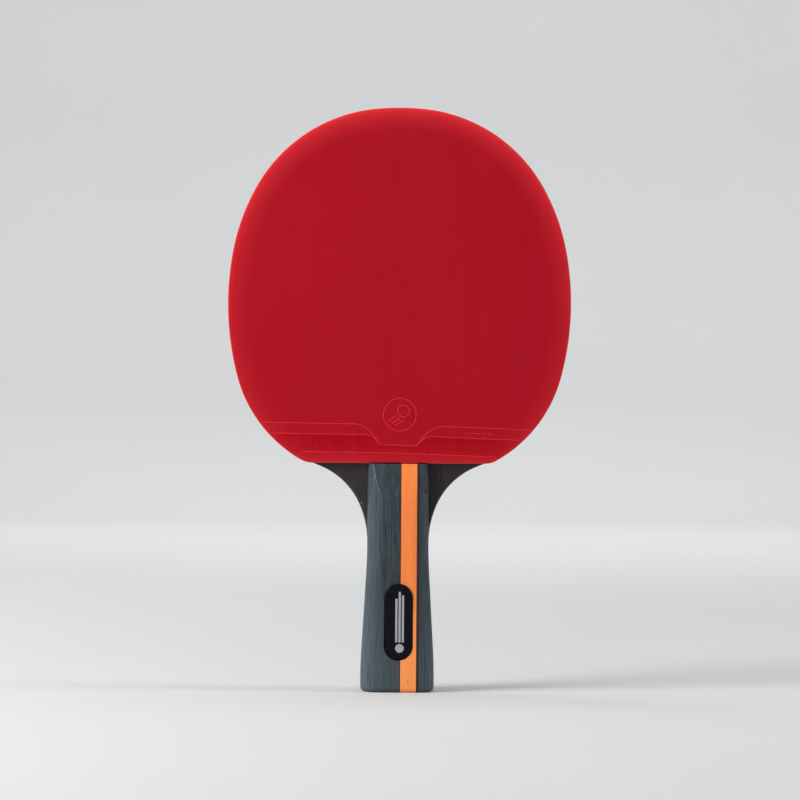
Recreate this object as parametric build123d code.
from build123d import *
import os

# Table tennis paddle with a flared handle and smooth (inverted) rubber on both sides.
# Frame: the origin is the centre of the butt end. +Z runs up the handle to the tip of the
# head, +X is to the right seen from the front, and the front, with the red rubber, faces -Y.
# The back half of every pair is the front half turned half a turn about Z.

# Lengths along the paddle
HEAD_TOP = 256.4  # butt end to the tip of the rubber
HANDLE_TOP = 100.0  # butt end to the upper end of the grip scales
NECK_HEIGHT = 65.2  # where the wings of the blade leave the handle

# Half of the rubber's outline, from the tip clockwise: (radius, turn in degrees) of each arc.
# The last arc brings the edge round into the straight cut beside the handle.
HEAD_ARCS = ((110.0, 5.4), (67.6, 55.0), (92.0, 19.1), (125.7, 25.4))
RUBBER_SHOULDER = (59.8, 45.2)
RUBBER_CORNER = (10.6, 29.9)

# Half of the wing, from the neck upwards: (radius, turn in degrees) of each arc
BLADE_SHOULDER = (57.3, 52.4)
WING_ARCS = ((41.6, 24.1), (31.9, 43.2))

# Layers of the blade and of the rubber on each side of it
CORE_PLY = 3.6
MEDIAL_PLY = 0.6
FACE_PLY = 0.6
GLUE_FILM = 0.1
SPONGE = 1.8
TOPSHEET = 1.7  # 0.7 mm skin and 1.0 mm pimples
BLADE_INSET = 0.4  # the sponge stands this far past the edge of the blade
TOPSHEET_INSET = 0.2
GLUE_INSET = 1.6

# Handle: half sizes at the neck, and the flare from the neck to the butt
NECK_HALF_WIDTH = 13.45
NECK_HALF_THICKNESS = 11.4
FLARE_RADIUS = 225.0
WIDTH_FLARE = (3.3, 33.7)  # slope in degrees, straight run
THICKNESS_FLARE = (1.0, 50.0)
GRIP_ROUNDING = 7.3  # along the four long edges
BUTT_ROUNDING = 2.4
TOP_TAPER = 0.45  # each side of the grip draws in by this much over the thumb slope
THUMB_SLOPE_START = 84.5  # the front of each scale curves down from here to its upper end
THUMB_SLOPE_DROP = 2.75
THUMB_SLOPE_RADIUS = 75.0

# Laminated strips of a scale, from left to right, and the glue lines between them
STRIPS = ("left_block", "left_veneer", "orange_strip", "right_veneer", "right_block")
GLUE_LINES = (1.0, 1.4, 8.3, 9.5)

# Badge in the front scale
BADGE_LENGTH = 33.4
BADGE_WIDTH = 12.5
BADGE_HEIGHT = 30.8  # of its centre above the butt
BADGE_OFFSET = 0.5  # of its centre to the right
BADGE_PLATE = 1.05
BADGE_ADHESIVE = 0.1
BADGE_CHAMFER = 0.35
POCKET_DEPTH = 1.0
POCKET_GAP = 0.15

# Emblem on the badge: a ball with three speed lines above it, all one raised print
EMBLEM_LENGTH = 26.6
EMBLEM_WIDTH = 3.8
EMBLEM_OFFSET = 0.5  # to the right of the badge's centre
EMBLEM_RAISE = 0.08
SPEED_LINE_WIDTH = 0.95
SPEED_LINE_CUTS = (3.0, 0.0, 1.5)  # how much shorter each speed line is than the longest
BALL_GAP = 0.7

FAR = 60.0  # further than any face of the handle is from Z

BLADE_HALF = CORE_PLY / 2 + MEDIAL_PLY + FACE_PLY


def arc_chain(start, heading, arcs):
    """Tangent arcs end to end; each is (radius, turn in degrees, positive to the left)."""
    point = Vector(*start)
    direction = Vector(1, 0).rotate(Axis.Z, heading)
    edges = []
    for radius, turn in arcs:
        edges.append(JernArc(point, direction, radius, turn))
        point = edges[-1] @ 1
        direction = edges[-1] % 1
    return edges


def symmetric_face(edges):
    """A face from the edges of its right half, which start and end on the centre line."""
    half = Curve() + edges
    return make_face(half + mirror(half, about=Plane.YZ))


def head_arcs(inset, shoulder, *more):
    """The right side of the head from its tip, moved inwards by inset, on to the shoulder."""
    arcs = [(radius - inset, -turn) for radius, turn in HEAD_ARCS]
    arcs += [(radius, -turn) for radius, turn in (shoulder, *more)]
    return arc_chain((0, HEAD_TOP - inset), 0, arcs)


def rubber_outline(inset):
    """The rubber's outline, moved inwards by inset."""
    shoulder = (RUBBER_SHOULDER[0] - inset, RUBBER_SHOULDER[1])
    corner = (RUBBER_CORNER[0] - inset, RUBBER_CORNER[1])
    edge = head_arcs(inset, shoulder, corner)
    end = edge[-1] @ 1
    return symmetric_face(edge + [Line(end, (0, end.Y))])


def flare(half_neck, slope, run):
    """One side of the handle from the neck down to the butt: arc, straight, arc, straight."""
    upper = JernArc((half_neck, NECK_HEIGHT), (0, -1), FLARE_RADIUS, slope)
    straight = Line(upper @ 1, (upper @ 1) + (upper % 1) * run)
    lower = JernArc(straight @ 1, straight % 1, FLARE_RADIUS, -slope)
    end = lower @ 1
    return [upper, straight, lower, Line(end, (end.X, 0))]


def blade_outline():
    """The outline of every ply: head, wings and the tang that runs down to the butt."""
    head = head_arcs(BLADE_INSET, BLADE_SHOULDER)
    upward = [(radius, -turn) for radius, turn in WING_ARCS]
    wing = arc_chain((NECK_HALF_WIDTH, NECK_HEIGHT), 90, upward)
    tang = flare(NECK_HALF_WIDTH, *WIDTH_FLARE)
    butt_corner = tang[-1] @ 1
    joint = Line(head[-1] @ 1, wing[-1] @ 1)
    butt = Line(butt_corner, (0, 0))
    outline = symmetric_face(head + [joint] + wing + tang + [butt])
    corners = outline.vertices().group_by(Axis.Y)[0].filter_by(lambda v: abs(v.X) > 1)
    return fillet(corners, BUTT_ROUNDING)


def front_layer(outline, near, far):
    """A slab of an outline between two distances in front of the blade's middle."""
    return extrude(Plane.XZ.offset(near) * outline, amount=far - near)


def turned(part):
    """The same part on the back of the paddle."""
    return Rot(0, 0, 180) * part


def plies():
    """The five plies of the blade, in grain order from the middle out."""
    outline = blade_outline()
    core_half = CORE_PLY / 2
    medial = front_layer(outline, core_half, core_half + MEDIAL_PLY)
    face = front_layer(outline, core_half + MEDIAL_PLY, BLADE_HALF)
    return {
        "core_ply": front_layer(outline, -core_half, core_half),
        "front_medial_ply": medial,
        "back_medial_ply": turned(medial),
        "front_face_ply": face,
        "back_face_ply": turned(face),
    }


def rubbers():
    """On each side a glue film, a sponge and a topsheet."""
    glue_top = BLADE_HALF + GLUE_FILM
    sponge_top = glue_top + SPONGE
    glue = front_layer(rubber_outline(GLUE_INSET), BLADE_HALF, glue_top)
    sponge = front_layer(rubber_outline(0), glue_top, sponge_top)
    topsheet = front_layer(rubber_outline(TOPSHEET_INSET), sponge_top, sponge_top + TOPSHEET)
    layers = {"glue_film": glue, "sponge": sponge, "topsheet": topsheet}
    parts = {f"front_{name}": layer for name, layer in layers.items()}
    parts.update({f"back_{name}": turned(layer) for name, layer in layers.items()})
    return parts


def handle_profile(half_neck, slope, run):
    """The handle seen from the front or from the side, as a face."""
    side = flare(half_neck, slope, run)
    neck = Line((half_neck, NECK_HEIGHT), (half_neck, THUMB_SLOPE_START))
    taper = TangentArc(neck @ 1, (half_neck - TOP_TAPER, HANDLE_TOP), tangent=(0, 1))
    top = Line(taper @ 1, (0, HANDLE_TOP))
    butt = Line(side[-1] @ 1, (0, 0))
    return symmetric_face([top, taper, neck] + side + [butt])


def handle_body():
    """The whole rounded handle, before it is split at the blade."""
    seen_from_front = Plane.XZ * handle_profile(NECK_HALF_WIDTH, *WIDTH_FLARE)
    seen_from_side = Plane.YZ * handle_profile(NECK_HALF_THICKNESS, *THICKNESS_FLARE)
    body = extrude(seen_from_front, FAR, both=True) & extrude(seen_from_side, FAR, both=True)
    long_edges = body.edges().filter_by(
        lambda edge: abs(edge.center().X) > NECK_HALF_WIDTH - 1
        and abs(edge.center().Y) > NECK_HALF_THICKNESS - 1
    )
    body = fillet(long_edges, GRIP_ROUNDING)
    return fillet(body.edges().group_by(Axis.Z)[0], BUTT_ROUNDING)


def front_scale():
    """The front half of the handle, which sits on the blade, with its thumb slope."""
    start = (-NECK_HALF_THICKNESS, THUMB_SLOPE_START)
    end = (THUMB_SLOPE_DROP - NECK_HALF_THICKNESS, HANDLE_TOP)
    slope = RadiusArc(start, end, THUMB_SLOPE_RADIUS)
    rest = Polyline(end, (-BLADE_HALF, HANDLE_TOP), (-BLADE_HALF, 0), (-FAR, 0), (-FAR, start[1]), start)
    return handle_body() & extrude(Plane.YZ * make_face(slope + rest), FAR, both=True)


def badge_plane():
    """A plane on the front scale's tapered face, square to it, at the badge's centre."""
    taper = flare(NECK_HALF_THICKNESS, *THICKNESS_FLARE)[1]
    start = taper @ 0
    along = taper % 0
    depth = start.X + (BADGE_HEIGHT - start.Y) * along.X / along.Y
    normal = (0, along.Y, -along.X)
    return Plane(origin=(BADGE_OFFSET, -depth, BADGE_HEIGHT), x_dir=(1, 0, 0), z_dir=normal)


def stadium(grow):
    """The badge's outline, a slot with full round ends, made larger all round by grow."""
    return Rot(0, 0, 90) * SlotOverall(BADGE_LENGTH + 2 * grow, BADGE_WIDTH + 2 * grow)


def badge():
    """The badge: its adhesive, its bevelled plate and the emblem printed on the plate."""
    plane = badge_plane()
    floor = plane.offset(-POCKET_DEPTH)
    adhesive = extrude(floor * stadium(-2 * POCKET_GAP), BADGE_ADHESIVE)
    plate = extrude(floor.offset(BADGE_ADHESIVE) * stadium(0), BADGE_PLATE)
    rim = plate.faces().sort_by(Axis.Y)[0].edges()
    plate = chamfer(rim, BADGE_CHAMFER)
    printed = plane.offset(BADGE_ADHESIVE + BADGE_PLATE - POCKET_DEPTH)
    emblem = extrude(printed * emblem_outline(), EMBLEM_RAISE)
    return {"badge_adhesive": adhesive, "badge_plate": plate, "badge_emblem": emblem}


def emblem_outline():
    """A ball at the lower end and three speed lines of different lengths above it."""
    ball_radius = EMBLEM_WIDTH / 2
    low = -EMBLEM_LENGTH / 2
    line_start = low + 2 * ball_radius + BALL_GAP
    longest = EMBLEM_LENGTH / 2 - line_start
    outline = Sketch() + Pos(EMBLEM_OFFSET, low + ball_radius) * Circle(ball_radius)
    spacing = (EMBLEM_WIDTH - SPEED_LINE_WIDTH) / 2
    for column, cut in zip((-1, 0, 1), SPEED_LINE_CUTS):
        length = longest - cut
        centre = Pos(EMBLEM_OFFSET + column * spacing, line_start + length / 2)
        outline += centre * Rectangle(SPEED_LINE_WIDTH, length)
    return outline


def scale_strips():
    """The five glued strips of each scale; only the front scale has the badge's pocket."""
    scale = front_scale()
    pocket = extrude(badge_plane().offset(-POCKET_DEPTH) * stadium(POCKET_GAP), FAR)
    parts = {}
    for name, left, right in zip(STRIPS, (-FAR, *GLUE_LINES), (*GLUE_LINES, FAR)):
        slab = Pos((left + right) / 2, 0, 0) * Box(right - left, 2 * FAR, 4 * FAR)
        strip = scale & slab
        parts[f"front_handle_{name}"] = strip - pocket
        parts[f"back_handle_{name}"] = turned(strip)
    return parts


def main():
    os.makedirs("parts", exist_ok=True)
    parts = {**plies(), **rubbers(), **scale_strips(), **badge()}
    for name, part in parts.items():
        export_step(part, f"parts/{name}.step")
    print(len(parts), "nodes")


main()
